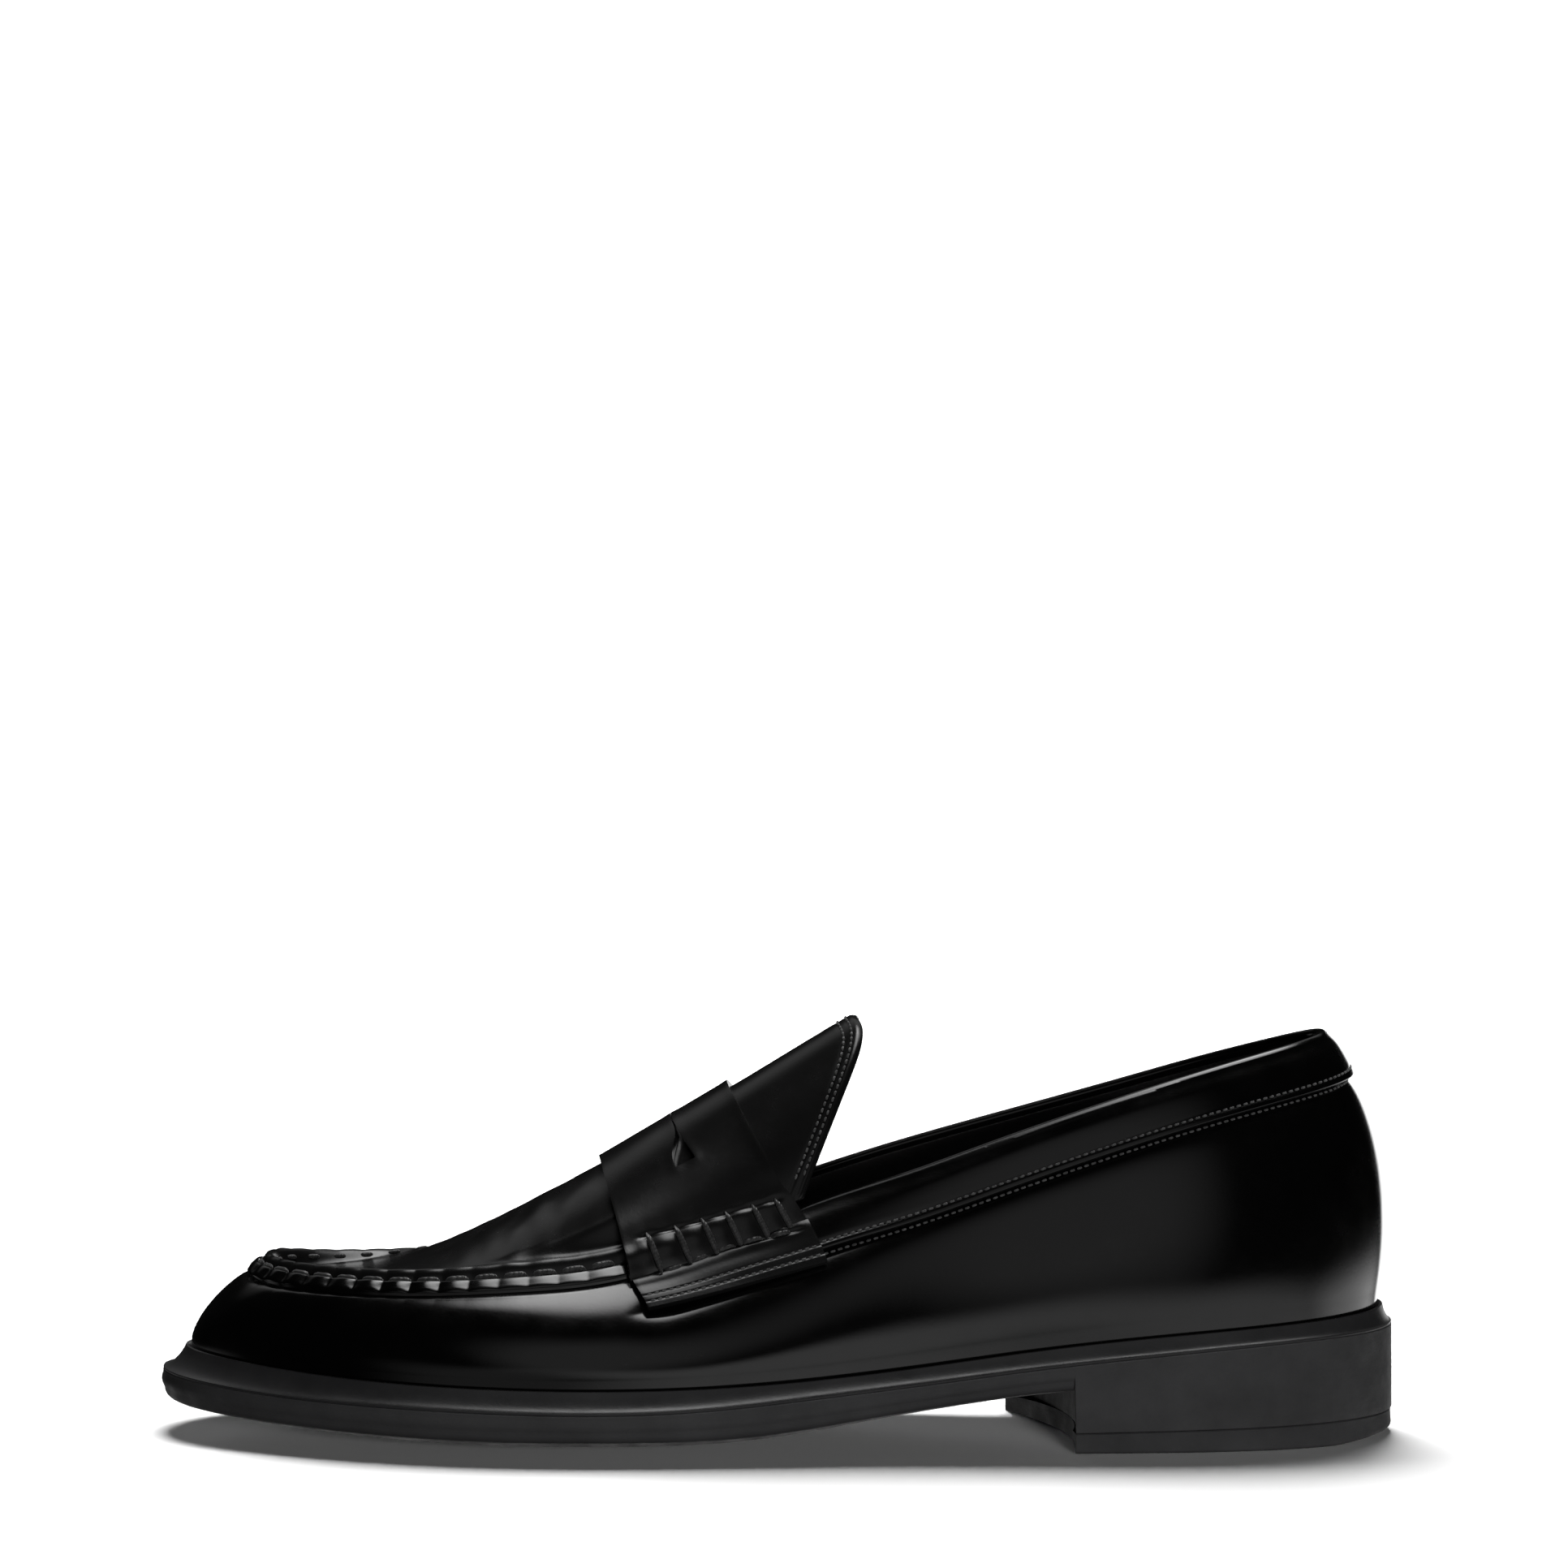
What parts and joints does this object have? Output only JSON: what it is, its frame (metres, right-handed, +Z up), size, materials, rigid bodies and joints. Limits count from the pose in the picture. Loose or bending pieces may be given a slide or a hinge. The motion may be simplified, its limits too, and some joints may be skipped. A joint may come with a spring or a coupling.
{
  "type": "penny loafer",
  "caption": "Left slip-on leather loafer with a raised moccasin apron seam, saddle strap with a slot, free tongue and low rubber heel.",
  "frame": {"origin": "on the floor, under the middle of the shoe's bounding box", "axes": "+X from heel to toe, +Y to the wearer's left, which is the outer side, +Z up"},
  "size_m": [0.2827, 0.1013, 0.0965],
  "materials": {
    "polished_leather": "black leather brushed to a high shine, with fine creases",
    "lining_leather": "smooth matte black lining leather",
    "sock_leather": "matte black sock leather",
    "sole_rubber": "matte moulded black rubber",
    "welt_rubber": "satin black rubber with a soft sheen",
    "lift_rubber": "hard matte black rubber",
    "thread": "waxed black thread",
    "board": "pressed cellulose board",
    "cork": "ground cork in binder",
    "stiffener": "thermoplastic stiffener sheet",
    "foam": "latex foam",
    "steel": "plain spring steel"
  },
  "bodies": {
    "shoe": {"outsole_unit": "sole_rubber", "top_lift": "lift_rubber", "welt": "welt_rubber", "bottom_filler": "cork", "insole_board": "board", "heel_pad": "foam", "sock_liner": "sock_leather", "shank": "steel", "shank_rivets": "steel", "heel_nails": "steel", "skirt": "polished_leather", "apron_plug": "polished_leather", "apron_lining": "lining_leather", "vamp_lining": "lining_leather", "quarter_lining_outer": "lining_leather", "quarter_lining_inner": "lining_leather", "heel_counter": "stiffener", "toe_puff": "stiffener", "heel_grip": "lining_leather", "collar_band": "polished_leather", "saddle_strap": "polished_leather", "tongue_base": "polished_leather", "apron_seam_thread": "thread", "ladder_stitches_outer": "thread", "ladder_stitches_inner": "thread", "strap_hem_stitches_outer": "thread", "strap_hem_stitches_inner": "thread", "collar_stitches": "thread"},
    "tongue": {"tongue_flap": "polished_leather", "tongue_lining": "lining_leather", "tongue_stitches": "thread"}
  },
  "joints": [
    {"name": "tongue_flex", "type": "hinge", "parent": "shoe", "child": "tongue", "pos_m": [0.011, 0, 0.0795], "axis": [0, 1, 0], "range_deg": [0, 20], "stiffness_Nm_per_rad": 0.02}
  ]
}
